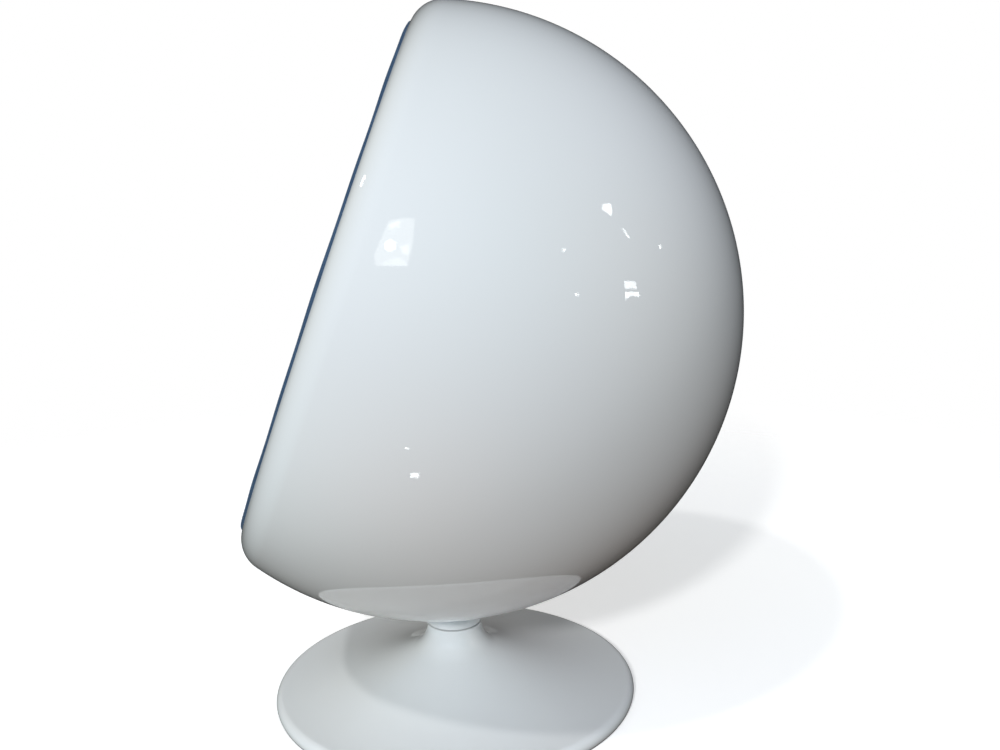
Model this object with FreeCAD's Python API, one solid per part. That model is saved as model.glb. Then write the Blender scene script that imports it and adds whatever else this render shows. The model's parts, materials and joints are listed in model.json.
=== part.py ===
"""Pod chair: a moulded ball shell with a tilted opening, turning on a trumpet base.

Millimetres. +Z is up, the opening faces -Y, and the origin is on the floor at the swivel axis.
"""
import FreeCAD, Part
import math
import os

from FreeCAD import Placement, Rotation, Vector

# Shell of the pod: a sphere cut by a tilted plane, with a rolled lip
shell_radius = 530.0
shell_wall = 6.5
opening_tilt = 21.0
opening_distance = 203.0
lip_radius = 58.8
pod_centre_forward = 12.0

# Upholstery of the pod
lining_thickness = 30.0
lining_panels = 8
lining_seam = 0.6
lining_centre_angle = 10.0
lining_end_angle = 80.0
piping_radius = 5.5
piping_proud = 4.0

# Seat inside the pod
deck_rise = 124.0
deck_thickness = 18.0
rib_thickness = 18.0
deck_screw_radius = 2.5
deck_screw_head_radius = 5.0
deck_screw_length = 45.0
deck_screw_inset = 56.0
seat_thickness = 130.0
seat_crown = 26.0
seat_corner = 90.0
seat_edge_draw = 16.0
seat_plateau = 23.5
back_recline = 16.0
back_thickness = 104.0
back_crown = 24.0
back_corner = 70.0
back_edge_draw = 12.0
back_plateau = 25.8
back_round_back = 14.0
back_lift = 0.6
cushion_flat_share = 0.9
cushion_dome_angles = (0, 20, 40, 62, 90)

# Trumpet cover of the base
base_radius = 336.0
base_edge_height = 8.0
base_edge_round = 14.0
cover_wall = 5.0
neck_radius = 50.0
neck_top_height = 134.0
neck_flare_radius = 57.0
neck_flare_turn = 62.0
neck_edge_round = 1.2

# Plate, pad and column inside the base
pad_thickness = 3.0
pad_setback = 2.0
plate_setback = 36.0
plate_thickness = 10.0
column_radius = 38.0
column_wall = 6.0
column_top_drop = 18.0
gusset_count = 4
gusset_thickness = 8.0
gusset_reach = 82.0
gusset_height = 62.0
block_count = 4
block_radius = 14.0
block_height = 10.0
cover_screw_radius = 3.0
cover_screw_head_radius = 6.0
cover_screw_bite = 9.0

# Collar under the pod
collar_gap = 2.0
collar_rise = 48.0
collar_straight = 13.0
collar_flare_radius = 45.0
collar_flare_turn = 68.0
collar_edge_round = 1.2

# Swivel bearing
spindle_radius = 17.5
spindle_head_radius = 40.0
spindle_foot_gap = 3.0
upper_bush_length = 28.0
lower_bush_length = 25.0
race_thickness = 4.0
race_bore_radius = 20.0
groove_depth = 1.0
ball_radius = 4.0
ball_count = 8
ball_pitch_radius = 29.0
cage_thickness = 3.0
cage_width = 14.0
circlip_thickness = 2.0
circlip_radius = 23.0
circlip_groove_depth = 2.0
washer_thickness = 3.0
washer_radius = 27.0

# Clamp of the pod on its spindle
backing_radius = 80.0
backing_rise = 20.0
clamp_bolt_count = 4
clamp_bolt_radius = 5.0
clamp_bolt_pitch_radius = 27.0
clamp_bolt_bite = 18.0
clamp_bolt_head_width = 17.0
clamp_bolt_head_height = 6.4
clamp_washer_radius = 10.5
clamp_washer_thickness = 2.0

# Clearances
running_gap = 0.05
bond_gap = 0.3
rest_gap = 0.3
cushion_gap = 0.3
bolt_gap = 0.5
thread_gap = 0.05
rib_clearance = 14.0

UP = Vector(0, 0, 1)
ORIGIN = Vector(0, 0, 0)

# Values worked out from the sizes above
collar_bottom = neck_top_height + collar_gap
pod_bottom_height = collar_bottom + collar_rise
pod_centre_height = pod_bottom_height + shell_radius
pod_centre = Vector(0, -pod_centre_forward, pod_centre_height)
pod_placement = Placement(pod_centre, Rotation(Vector(1, 0, 0), 90.0 - opening_tilt))
lip_axial = opening_distance - lip_radius
lip_ring_radius = math.sqrt((shell_radius - lip_radius) ** 2 - lip_axial ** 2)
lip_start_angle = math.degrees(math.atan2(lip_axial, lip_ring_radius))
lip_stop_angle = math.degrees(math.acos((piping_radius + bond_gap) / lip_radius))
plate_radius = base_radius - plate_setback
plate_bottom = pad_thickness
plate_top = plate_bottom + plate_thickness
column_top_height = neck_top_height - column_top_drop
column_bore = column_radius - column_wall
lower_race_top = column_top_height + race_thickness
ball_height = lower_race_top - groove_depth + running_gap + ball_radius
upper_race_bottom = ball_height + ball_radius + running_gap - groove_depth
head_bottom = upper_race_bottom + race_thickness
spindle_foot = plate_top + spindle_foot_gap
circlip_bottom = spindle_foot + circlip_thickness
washer_bottom = circlip_bottom + circlip_thickness
lower_bush_bottom = washer_bottom + washer_thickness + rest_gap
backing_top_height = pod_bottom_height + backing_rise
deck_top_height = pod_bottom_height + deck_rise
deck_bottom = deck_top_height - deck_thickness
deck_room = shell_radius - shell_wall - bond_gap
deck_radius = math.sqrt(deck_room ** 2 - (pod_centre_height - deck_bottom) ** 2)
deck_screw_reach = deck_radius - deck_screw_inset
seat_bottom = deck_top_height + rest_gap
seat_top = seat_bottom + seat_thickness
back_drop = seat_crown - back_lift


def arc(centre, radius, start, stop):
    """Arc in the profile plane, X outwards and Z up, between two angles in degrees."""
    middle = 0.5 * (start + stop)
    points = []
    for angle in (start, middle, stop):
        turn = math.radians(angle)
        x = centre[0] + radius * math.cos(turn)
        z = centre[1] + radius * math.sin(turn)
        points.append(Vector(x, 0, z))
    return Part.Arc(*points).toShape()


def start_of(edge):
    return edge.valueAt(edge.FirstParameter)


def end_of(edge):
    return edge.valueAt(edge.LastParameter)


def joined(edges):
    """Closed wire through edges that are given in order, with straight runs between them."""
    chain = []
    count = len(edges)
    for index, edge in enumerate(edges):
        chain.append(edge)
        here = end_of(edge)
        there = start_of(edges[(index + 1) % count])
        if here.distanceToPoint(there) > 1e-6:
            chain.append(Part.LineSegment(here, there).toShape())
    return Part.Wire(chain)


def line(x0, z0, x1, z1):
    return Part.LineSegment(Vector(x0, 0, z0), Vector(x1, 0, z1)).toShape()


def turned(edges, sweep=360.0, start=0.0):
    """Solid of revolution about Z from a closed profile."""
    face = Part.Face(joined(edges))
    if start:
        face.rotate(ORIGIN, UP, start)
    return face.revolve(ORIGIN, UP, sweep)


def disc(radius, bottom, top, bore=0.0, x=0.0, y=0.0):
    """Disc or ring that stands on a level, with an optional bore."""
    solid = Part.makeCylinder(radius, top - bottom, Vector(x, y, bottom))
    if bore > 0:
        solid = solid.cut(Part.makeCylinder(bore, top - bottom, Vector(x, y, bottom)))
    return solid


def around(count, radius, start=0.0):
    """Places evenly spaced on a circle about the swivel axis."""
    places = []
    for index in range(count):
        turn = math.radians(start + 360.0 * index / count)
        places.append(Vector(radius * math.cos(turn), radius * math.sin(turn), 0))
    return places


def in_pod(shape):
    """Move a shape from the pod's own frame, with Z out of its opening, to its place."""
    moved = shape.copy()
    moved.Placement = pod_placement.multiply(moved.Placement)
    return moved


def above(height):
    """Block of space over a level, wide enough for the whole pod."""
    wide = 4 * shell_radius
    return Part.makeBox(wide, wide, wide, Vector(-wide / 2, -wide / 2, height))


def between(bottom, top):
    wide = 4 * shell_radius
    return Part.makeBox(wide, wide, top - bottom, Vector(-wide / 2, -wide / 2, bottom))


def rounded(solid, radius, picks):
    """Fillet the edges that a test picks."""
    edges = [edge for edge in solid.Edges if picks(edge)]
    return solid.makeFillet(radius, edges)


# Pod


def shell_arcs(inset, lip_stop):
    """Sphere arc and lip arc of the shell's outer surface, moved inwards by an inset."""
    radius = shell_radius - inset
    sphere = arc((0, 0), radius, -90, lip_start_angle)
    lip = arc((lip_ring_radius, lip_axial), lip_radius - inset, lip_start_angle, lip_stop)
    return sphere, lip


def reversed_arcs(inset, lip_stop):
    radius = shell_radius - inset
    sphere = arc((0, 0), radius, lip_start_angle, -90)
    lip = arc((lip_ring_radius, lip_axial), lip_radius - inset, lip_stop, lip_start_angle)
    return lip, sphere


def clamp_bores(radius):
    """Bores for the clamp bolts, long enough for every piece they pass through."""
    bores = []
    reach = backing_top_height - collar_bottom
    for place in around(clamp_bolt_count, clamp_bolt_pitch_radius, 45):
        bores.append(Part.makeCylinder(radius, reach, place + UP * collar_bottom))
    return Part.makeCompound(bores)


def make_shell():
    outer = shell_arcs(0, lip_stop_angle)
    inner = reversed_arcs(shell_wall, lip_stop_angle)
    shell = in_pod(turned([*outer, *inner]))
    return shell.cut(clamp_bores(clamp_bolt_radius + bolt_gap))


def pod_inside(inset):
    """Space inside the pod, with its walls moved inwards from the shell's outer surface."""
    sphere, lip = shell_arcs(inset, 90)
    front = lip_axial + lip_radius - inset
    cap = line(lip_ring_radius, front, 0, front)
    return in_pod(turned([sphere, lip, cap]))


def make_rim_piping():
    height = opening_distance + piping_proud - piping_radius
    ring = Part.makeTorus(lip_ring_radius, piping_radius, Vector(0, 0, height))
    return in_pod(ring)


def lining_profile():
    """Section of a lining gore, from the centre panel to its rolled end behind the piping."""
    outside = shell_wall + bond_gap
    inside = outside + lining_thickness
    nose = lining_thickness / 2
    seam_angle = math.degrees(lining_seam / shell_radius)
    first = -90 + lining_centre_angle + seam_angle
    swing = lip_radius - outside - nose
    turn = math.radians(lining_end_angle)
    nose_centre = (lip_ring_radius + swing * math.cos(turn), lip_axial + swing * math.sin(turn))
    lip_centre = (lip_ring_radius, lip_axial)
    return [
        arc((0, 0), shell_radius - outside, first, lip_start_angle),
        arc(lip_centre, lip_radius - outside, lip_start_angle, lining_end_angle),
        arc(nose_centre, nose, lining_end_angle, lining_end_angle + 90),
        arc(nose_centre, nose, lining_end_angle + 90, lining_end_angle + 180),
        arc(lip_centre, lip_radius - inside, lining_end_angle, lip_start_angle),
        arc((0, 0), shell_radius - inside, lip_start_angle, first),
    ]


def make_lining_panel(index):
    """One padded gore, cut off where it meets the seat deck."""
    step = 360.0 / lining_panels
    seam_angle = math.degrees(lining_seam / lip_ring_radius)
    start = index * step + seam_angle / 2 - 90 - step / 2
    gore = in_pod(turned(lining_profile(), step - seam_angle, start))
    return gore.common(above(deck_top_height + rest_gap))


def make_lining_centre():
    outside = shell_wall + bond_gap
    inside = outside + lining_thickness
    last = -90 + lining_centre_angle
    panel = turned([
        arc((0, 0), shell_radius - outside, -90, last),
        arc((0, 0), shell_radius - inside, last, -90),
    ])
    return in_pod(panel)


def make_seat_deck():
    disc_space = between(deck_bottom, deck_top_height)
    deck = pod_inside(shell_wall + bond_gap).common(disc_space)
    for place in deck_screw_places():
        deck = deck.cut(deck_screw(place, thread_gap))
    return deck


def deck_screw_places():
    """Two screws into each arm of the crossed ribs."""
    places = []
    for reach in (deck_screw_reach / 2, deck_screw_reach):
        places += around(4, reach)
    return places


def deck_screw(place, gap):
    """Countersunk screw with its head level with the deck's top."""
    head_depth = deck_screw_head_radius - deck_screw_radius
    shank_bottom = deck_top_height - deck_screw_length
    neck = deck_top_height - head_depth
    shank = Part.makeCylinder(deck_screw_radius + gap, neck - shank_bottom, place + UP * shank_bottom)
    head = Part.makeCone(
        deck_screw_radius + gap, deck_screw_head_radius + gap, head_depth, place + UP * neck
    )
    return shank.fuse(head)


def rib_space():
    """Room between the deck and the shell, clear of the backing plate and its bolts."""
    space = pod_inside(shell_wall + bond_gap).common(between(pod_centre_height - shell_radius, deck_bottom))
    clear = backing_top_height + rib_clearance
    return space.cut(disc(backing_radius + rib_clearance, collar_bottom, clear))


def make_rib(along_x):
    """Plywood rib, half lapped with the other one at the middle."""
    wide = 2 * shell_radius
    middle = 0.5 * (backing_top_height + rib_clearance + deck_bottom)
    if along_x:
        board = Part.makeBox(wide, rib_thickness, wide, Vector(-wide / 2, -rib_thickness / 2, 0))
        notch = disc_box(rib_thickness + bond_gap, 0, middle)
    else:
        board = Part.makeBox(rib_thickness, wide, wide, Vector(-rib_thickness / 2, -wide / 2, 0))
        notch = disc_box(rib_thickness + bond_gap, middle, deck_bottom)
    rib = rib_space().common(board).cut(notch)
    for place in deck_screw_places():
        rib = rib.cut(deck_screw(place, thread_gap))
    return rib


def disc_box(width, bottom, top):
    """Square post about the swivel axis."""
    return Part.makeBox(width, width, top - bottom, Vector(-width / 2, -width / 2, bottom))


def make_deck_screws():
    screws = [deck_screw(place, 0) for place in deck_screw_places()]
    return Part.makeCompound(screws)


def cushion_radius(from_centre):
    """Radius of the room inside the lining, at a distance from the pod's centre."""
    room = shell_radius - shell_wall - bond_gap - lining_thickness - cushion_gap
    return math.sqrt(room ** 2 - from_centre ** 2)


def cushion_section(radius, flat, corner):
    """Round outline with one straight side towards -Y, at most a little inside the circle."""
    flat = min(flat, cushion_flat_share * radius)
    corner = min(corner, 0.5 * radius)
    corner_y = corner - flat
    corner_x = math.sqrt((radius - corner) ** 2 - corner_y ** 2)
    centre = Vector(corner_x, corner_y, 0)
    meet = centre * (radius / (radius - corner))
    down = centre + Vector(0, -corner, 0)
    middle_way = (meet - centre) + (down - centre)
    middle = centre + middle_way * (corner / middle_way.Length)
    side_way = meet + Vector(0, radius, 0)
    side = side_way * (radius / side_way.Length)
    back = Vector(0, radius, 0)
    return Part.Wire([
        Part.LineSegment(left(down), down).toShape(),
        Part.Arc(down, middle, meet).toShape(),
        Part.Arc(meet, side, back).toShape(),
        Part.Arc(back, left(side), left(meet)).toShape(),
        Part.Arc(left(meet), left(middle), left(down)).toShape(),
    ])


def left(point):
    return Vector(-point.x, point.y, point.z)


def seat_flat(height):
    """Distance from the pod's axis to the seat cushion's straight front, at a height."""
    tilt = math.radians(opening_tilt)
    front = opening_distance - shell_wall - bond_gap - lining_thickness - cushion_gap
    return ((pod_centre_height - height) * math.sin(tilt) + front) / math.cos(tilt)


def make_seat_cushion():
    """Loose cushion that fills the pod to its lining, with a crown and drawn-in edges."""
    reach = seat_flat(seat_top) - seat_plateau
    sections = []
    for inset, rise in cushion_steps(seat_thickness, seat_crown, seat_edge_draw, reach):
        height = seat_bottom + rise
        radius = cushion_radius(pod_centre_height - height)
        wire = cushion_section(radius - inset, seat_flat(height) - inset, seat_corner)
        wire.translate(Vector(0, pod_centre.y, height))
        sections.append(wire)
    return Part.makeLoft(sections, True, True)


def cushion_steps(thickness, crown, draw, reach):
    """Inset and rise of each section: a drawn-in bottom edge, upright sides and a domed top."""
    side = thickness - crown
    steps = [(draw, 0), (0.25 * draw, 0.15 * side), (0, 0.45 * side)]
    for angle in cushion_dome_angles:
        turn = math.radians(angle)
        low = 0.75 * side
        steps.append((reach * (1 - math.cos(turn)), low + (thickness - low) * math.sin(turn)))
    return steps


def back_flat(depth):
    """Distance from the pod's axis to the back cushion's straight foot, at a depth in the pod."""
    lean = math.radians(back_recline)
    below = pod_centre_height - seat_top + back_drop - depth * math.sin(lean)
    return below / math.cos(lean)


def make_back_cushion():
    """Loose cushion that stands on the seat cushion and leans on the lining."""
    room = cushion_radius(0)
    reach = back_flat(room - back_round_back - back_thickness) - back_plateau
    turn = Rotation(Vector(1, 0, 0), -90 - back_recline).multiply(Rotation(UP, 180))
    sections = []
    for inset, rise in cushion_steps(back_thickness, back_crown, back_edge_draw, reach):
        depth = room - back_round_back - rise
        wire = cushion_section(cushion_radius(depth) - inset, back_flat(depth) - inset, back_corner)
        wire.Placement = Placement(pod_centre, turn).multiply(Placement(UP * depth, Rotation()))
        sections.append(wire)
    return Part.makeLoft(sections, True, True)


# Clamp and collar


def make_pod_collar():
    """White trim ring round the spindle's head, bonded under the shell to cover the bearing."""
    flare_bottom = collar_bottom + collar_straight
    flare_centre = (neck_radius + collar_flare_radius, flare_bottom)
    flare = arc(flare_centre, collar_flare_radius, 180, 180 - collar_flare_turn)
    edge = end_of(flare)
    top = flare_bottom + collar_flare_radius
    bore = spindle_head_radius + bond_gap
    collar = turned([
        line(neck_radius, collar_bottom, neck_radius, flare_bottom),
        flare,
        line(edge.x, top, bore, top),
        line(bore, top, bore, collar_bottom),
    ])

    def at_lower_rim(edge):
        box = edge.BoundBox
        return box.ZMax < collar_bottom + 1e-6 and box.XLength > neck_radius + bore

    collar = rounded(collar, collar_edge_round, at_lower_rim)
    return collar.cut(Part.makeSphere(shell_radius + bond_gap, pod_centre))


def make_backing_plate():
    plate = disc(backing_radius, collar_bottom, backing_top_height)
    plate = plate.common(Part.makeSphere(shell_radius - shell_wall - bond_gap, pod_centre))
    return plate.cut(clamp_bores(clamp_bolt_radius + bolt_gap))


def make_clamp_washers():
    washers = []
    for place in around(clamp_bolt_count, clamp_bolt_pitch_radius, 45):
        top = backing_top_height + clamp_washer_thickness
        bore = clamp_bolt_radius + bolt_gap
        washers.append(disc(clamp_washer_radius, backing_top_height, top, bore, place.x, place.y))
    return Part.makeCompound(washers)


def hexagon(width, bottom, height, place):
    """Hexagonal head with a given width across its flats."""
    corner = width / math.sqrt(3)
    points = [place + UP * bottom + Vector(*turned_point(corner, 60 * index), 0) for index in range(7)]
    return Part.Face(Part.makePolygon(points)).extrude(UP * height)


def turned_point(radius, angle):
    turn = math.radians(angle)
    return radius * math.cos(turn), radius * math.sin(turn)


def make_clamp_bolts():
    bolts = []
    seat = backing_top_height + clamp_washer_thickness
    foot = pod_bottom_height - clamp_bolt_bite
    for place in around(clamp_bolt_count, clamp_bolt_pitch_radius, 45):
        shank = Part.makeCylinder(clamp_bolt_radius, seat - foot, place + UP * foot)
        head = hexagon(clamp_bolt_head_width, seat, clamp_bolt_head_height, place)
        bolts.append(shank.fuse(head))
    return Part.makeCompound(bolts)


# Swivel bearing


def make_spindle():
    """Shaft with a dished head that the pod is clamped to, and a groove for the circlip."""
    shaft = disc(spindle_radius, spindle_foot, head_bottom)
    head = disc(spindle_head_radius, head_bottom, backing_top_height)
    head = head.cut(Part.makeSphere(shell_radius + bond_gap, pod_centre))
    spindle = shaft.fuse(head).removeSplitter()
    groove_root = spindle_radius - circlip_groove_depth
    spindle = spindle.cut(disc(spindle_radius + 1, circlip_bottom, washer_bottom, groove_root))
    foot = pod_bottom_height - clamp_bolt_bite
    for place in around(clamp_bolt_count, clamp_bolt_pitch_radius, 45):
        depth = backing_top_height - foot
        hole = Part.makeCylinder(clamp_bolt_radius + thread_gap, depth, place + UP * foot)
        spindle = spindle.cut(hole)
    return spindle


def race_groove():
    return Part.makeTorus(ball_pitch_radius, ball_radius + running_gap, UP * ball_height)


def make_race(bottom):
    ring = disc(column_radius, bottom, bottom + race_thickness, race_bore_radius)
    return ring.cut(race_groove())


def ball_places():
    return around(ball_count, ball_pitch_radius)


def make_bearing_balls():
    balls = [Part.makeSphere(ball_radius, place + UP * ball_height) for place in ball_places()]
    return Part.makeCompound(balls)


def make_ball_cage():
    bottom = ball_height - cage_thickness / 2
    outer = ball_pitch_radius + cage_width / 2
    inner = ball_pitch_radius - cage_width / 2
    cage = disc(outer, bottom, bottom + cage_thickness, inner)
    for place in ball_places():
        pocket = Part.makeCylinder(ball_radius + 2 * running_gap, cage_thickness, place + UP * bottom)
        cage = cage.cut(pocket)
    return cage


def make_bush(bottom, length):
    return disc(column_bore - running_gap, bottom, bottom + length, spindle_radius + running_gap)


def make_retaining_washer():
    return disc(washer_radius, washer_bottom, washer_bottom + washer_thickness, spindle_radius + running_gap)


def make_circlip():
    """Open spring ring in the spindle's groove."""
    bore = spindle_radius - circlip_groove_depth + running_gap
    ring = disc(circlip_radius, circlip_bottom + running_gap, washer_bottom - running_gap, bore)
    slot_width = circlip_radius - bore
    slot_corner = Vector(0, -slot_width / 2, circlip_bottom)
    return ring.cut(Part.makeBox(circlip_radius, slot_width, circlip_thickness, slot_corner))


# Base


def sweep_circle():
    """Centre and radius of the arc from the neck's flare to the rim of the cover."""
    flare_centre = Vector(neck_radius + neck_flare_radius, 0, neck_top_height)
    roll_centre = Vector(base_radius - base_edge_round, 0, base_edge_height)
    turn = math.radians(neck_flare_turn)
    flare_way = Vector(-math.cos(turn), 0, -math.sin(turn))
    flare_end = flare_centre + flare_way * neck_flare_radius
    apart = flare_end - roll_centre
    lean = apart.dot(flare_way * -1) - base_edge_round
    radius = (base_edge_round ** 2 - apart.dot(apart)) / (2 * lean)
    return flare_end - flare_way * radius, radius


def cover_arcs(inset):
    """Neck flare, disc sweep and edge roll of the cover, moved inwards by an inset."""
    flare = (neck_radius + neck_flare_radius, neck_top_height)
    roll = Vector(base_radius - base_edge_round, 0, base_edge_height)
    sweep_centre, sweep_radius = sweep_circle()
    across = sweep_centre - roll
    roll_top = math.degrees(math.atan2(across.z, across.x))
    drop = base_edge_height - pad_thickness
    roll_radius = base_edge_round - inset
    roll_low = -math.degrees(math.asin(drop / roll_radius))
    flare_end = 180 + neck_flare_turn
    return [
        arc(flare, neck_flare_radius + inset, 180, flare_end),
        arc((sweep_centre.x, sweep_centre.z), sweep_radius + inset, flare_end, 180 + roll_top),
        arc((roll.x, roll.z), roll_radius, roll_top, roll_low),
    ]


def block_places():
    """Places of the cover's blocks, where the room over the plate has their height."""
    centre, radius = sweep_circle()
    reach = radius + cover_wall + bond_gap
    drop = centre.z - plate_top - block_height
    return around(block_count, centre.x - math.sqrt(reach ** 2 - drop ** 2), 45)


def backwards(edges):
    """The same run of edges from its far end."""
    turned_edges = []
    for edge in reversed(edges):
        middle = edge.valueAt(0.5 * (edge.FirstParameter + edge.LastParameter))
        turned_edges.append(Part.Arc(end_of(edge), middle, start_of(edge)).toShape())
    return turned_edges


def make_base_cover():
    cover = turned(cover_arcs(0) + backwards(cover_arcs(cover_wall)))
    neck_width = 2 * neck_radius + 1e-3

    def at_neck_rim(edge):
        box = edge.BoundBox
        return box.ZMin > neck_top_height - 1e-6 and neck_width > box.XLength > 2 * neck_radius - 1e-3

    return rounded(cover, neck_edge_round, at_neck_rim)


def under_cover():
    """Space below the cover's inner surface."""
    edges = cover_arcs(cover_wall + bond_gap)
    last = end_of(edges[-1])
    return turned(edges + [line(last.x, last.z, 0, last.z), line(0, last.z, 0, neck_top_height)])


def make_base_pad():
    return disc(base_radius - pad_setback, 0, pad_thickness)


def make_base_plate():
    plate = disc(plate_radius, plate_bottom, plate_top)
    for place in block_places():
        plate = plate.cut(cover_screw(place, thread_gap))
    return plate


def make_column_tube():
    return disc(column_radius, plate_top, column_top_height, column_bore)


def make_column_gussets():
    """Triangular webs that brace the column on the plate."""
    gussets = []
    inner = column_radius
    corners = [
        Vector(inner, 0, plate_top),
        Vector(inner + gusset_reach, 0, plate_top),
        Vector(inner + gusset_reach, 0, plate_top + gusset_thickness),
        Vector(inner, 0, plate_top + gusset_height),
        Vector(inner, 0, plate_top),
    ]
    web = Part.Face(Part.makePolygon(corners)).extrude(Vector(0, gusset_thickness, 0))
    web.translate(Vector(0, -gusset_thickness / 2, 0))
    web = web.cut(Part.makeCylinder(column_radius + running_gap, column_top_height))
    for index in range(gusset_count):
        copy = web.copy()
        copy.rotate(ORIGIN, UP, 360.0 * index / gusset_count)
        gussets.append(copy)
    return Part.makeCompound(gussets)


def cover_screw(place, gap):
    """Countersunk screw up through the plate into a block."""
    head_depth = cover_screw_head_radius - cover_screw_radius
    neck = plate_bottom + head_depth
    top = plate_top + cover_screw_bite
    head = Part.makeCone(
        cover_screw_head_radius + gap, cover_screw_radius + gap, head_depth, place + UP * plate_bottom
    )
    shank = Part.makeCylinder(cover_screw_radius + gap, top - neck + gap, place + UP * neck)
    return head.fuse(shank)


def make_cover_blocks():
    blocks = []
    room = under_cover()
    for place in block_places():
        block = disc(block_radius, plate_top, neck_top_height, 0, place.x, place.y)
        block = block.common(room).cut(cover_screw(place, thread_gap))
        blocks.append(block)
    return Part.makeCompound(blocks)


def make_cover_screws():
    screws = [cover_screw(place, 0) for place in block_places()]
    return Part.makeCompound(screws)


def all_parts():
    parts = {
        "base_pad": make_base_pad(),
        "base_plate": make_base_plate(),
        "base_cover": make_base_cover(),
        "cover_blocks": make_cover_blocks(),
        "cover_screws": make_cover_screws(),
        "column_tube": make_column_tube(),
        "column_gussets": make_column_gussets(),
        "lower_bush": make_bush(lower_bush_bottom, lower_bush_length),
        "upper_bush": make_bush(column_top_height - upper_bush_length, upper_bush_length),
        "lower_race": make_race(column_top_height),
        "ball_cage": make_ball_cage(),
        "bearing_balls": make_bearing_balls(),
        "upper_race": make_race(upper_race_bottom),
        "spindle": make_spindle(),
        "retaining_washer": make_retaining_washer(),
        "circlip": make_circlip(),
        "pod_collar": make_pod_collar(),
        "shell": make_shell(),
        "backing_plate": make_backing_plate(),
        "clamp_washers": make_clamp_washers(),
        "clamp_bolts": make_clamp_bolts(),
        "rim_piping": make_rim_piping(),
        "lining_centre": make_lining_centre(),
        "seat_deck": make_seat_deck(),
        "deck_rib_across": make_rib(True),
        "deck_rib_along": make_rib(False),
        "deck_screws": make_deck_screws(),
        "seat_cushion": make_seat_cushion(),
        "back_cushion": make_back_cushion(),
    }
    for index in range(lining_panels):
        parts[f"lining_panel_{index + 1}"] = make_lining_panel(index)
    return parts


def main():
    os.makedirs("parts", exist_ok=True)
    for name, shape in all_parts().items():
        litres = shape.Volume / 1e6
        print(f"{name:18s} solids {len(shape.Solids):2d} valid {shape.isValid()} litres {litres:7.3f}")
        shape.exportStep(f"parts/{name}.step")


main()
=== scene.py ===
"""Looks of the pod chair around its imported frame. Metres, +Z up, the opening faces -Y."""
import json
import math

import bmesh
import bpy
import numpy as np
from mathutils import Matrix, Vector, noise
from mathutils.bvhtree import BVHTree
from mathutils.kdtree import KDTree


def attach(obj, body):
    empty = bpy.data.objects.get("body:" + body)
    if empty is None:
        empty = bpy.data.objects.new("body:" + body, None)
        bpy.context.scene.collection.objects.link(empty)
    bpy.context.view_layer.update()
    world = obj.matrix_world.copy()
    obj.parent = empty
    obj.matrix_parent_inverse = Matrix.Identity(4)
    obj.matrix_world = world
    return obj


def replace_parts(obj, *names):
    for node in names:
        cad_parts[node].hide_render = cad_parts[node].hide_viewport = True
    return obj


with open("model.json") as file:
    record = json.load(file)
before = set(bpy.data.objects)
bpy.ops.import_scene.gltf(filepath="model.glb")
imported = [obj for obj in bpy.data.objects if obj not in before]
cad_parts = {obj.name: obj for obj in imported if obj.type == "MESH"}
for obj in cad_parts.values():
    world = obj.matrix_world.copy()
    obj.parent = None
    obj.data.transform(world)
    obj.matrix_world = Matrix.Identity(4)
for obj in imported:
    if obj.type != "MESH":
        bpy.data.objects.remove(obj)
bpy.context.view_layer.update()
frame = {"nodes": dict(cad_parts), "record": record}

# Shell of the pod
SHELL_RADIUS = 0.530
SHELL_WALL = 0.0065
OPENING_TILT = 21.0
OPENING_DISTANCE = 0.203
LIP_RADIUS = 0.0588
LIP_EDGE_ROUND = 0.0016
POD_CENTRE = Vector((0, -0.012, 0.714))

# Upholstery
LINING_THICKNESS = 0.030
LINING_PANELS = 8
LINING_END_ANGLE = 80.0
LINING_CENTRE_ANGLE = 10.0
PIPING_RADIUS = 0.0055
PIPING_PROUD = 0.004
FABRIC_GAP = 0.0004
GORE_GAP = 0.0003
CENTRE_GAP = 0.0006
DECK_TOP = 0.308
DECK_GAP = 0.0004

# Sewing of the lining: how far the seams draw the padding in, and the puckers beside them
SEAM_DRAW = 0.010
SEAM_DRAW_REACH = 0.034
SEAM_ROLL = 0.011
SEAM_ROLL_REACH = 0.009
PUCKER_DEPTH = 0.0011
PUCKER_REACH = 0.018
PUCKER_SPACING = 0.038
SLACK = 0.0016
GORE_WIDTH_AT_SEAMS = 0.42

# Seat cushion
SEAT_THICKNESS = 0.130
SEAT_CROWN = 0.026
SEAT_CORNER = 0.090
SEAT_EDGE_DRAW = 0.016
SEAT_DOME_REACH = 0.260
SEAT_SEAMS = (0.012, 0.094)
SEAT_BOTTOM = DECK_TOP + 0.0003

# Back cushion
BACK_RECLINE = 16.0
BACK_THICKNESS = 0.104
BACK_CROWN = 0.024
BACK_CORNER = 0.070
BACK_EDGE_DRAW = 0.012
BACK_DOME_REACH = 0.180
BACK_ROUND_BACK = 0.014
BACK_DROP = 0.0254
BACK_SEAMS = (0.010, 0.074)

# Both cushions
CUSHION_FLAT_SHARE = 0.9
CUSHION_CORNER_SHARE = 0.5
CUSHION_SIDE_TOP = 0.75
CUSHION_PULL_IN = 0.007
ROOM_SLACK = 0.0006
ROOM_RADIUS = SHELL_RADIUS - SHELL_WALL - ROOM_SLACK - LINING_THICKNESS
ROOM_GAP = 0.0005
CUSHION_GAP = 0.001
WELT_RADIUS = 0.0048
WELT_LIFT = 0.35
WELT_SIDES = 10
RING_POINTS = 360
OVERHEAD = 2.0
DOWN = Vector((0, 0, -1))

# Cloth that blows the cushions up
VOXEL_SIZE = 0.0065
CLOTH_FRAMES = 20
CLOTH_PRESSURE = 4.0
CLOTH_GROWTH = 0.035
CLOTH_MOST = 0.024
PIN_REACH = 0.0055

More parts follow.
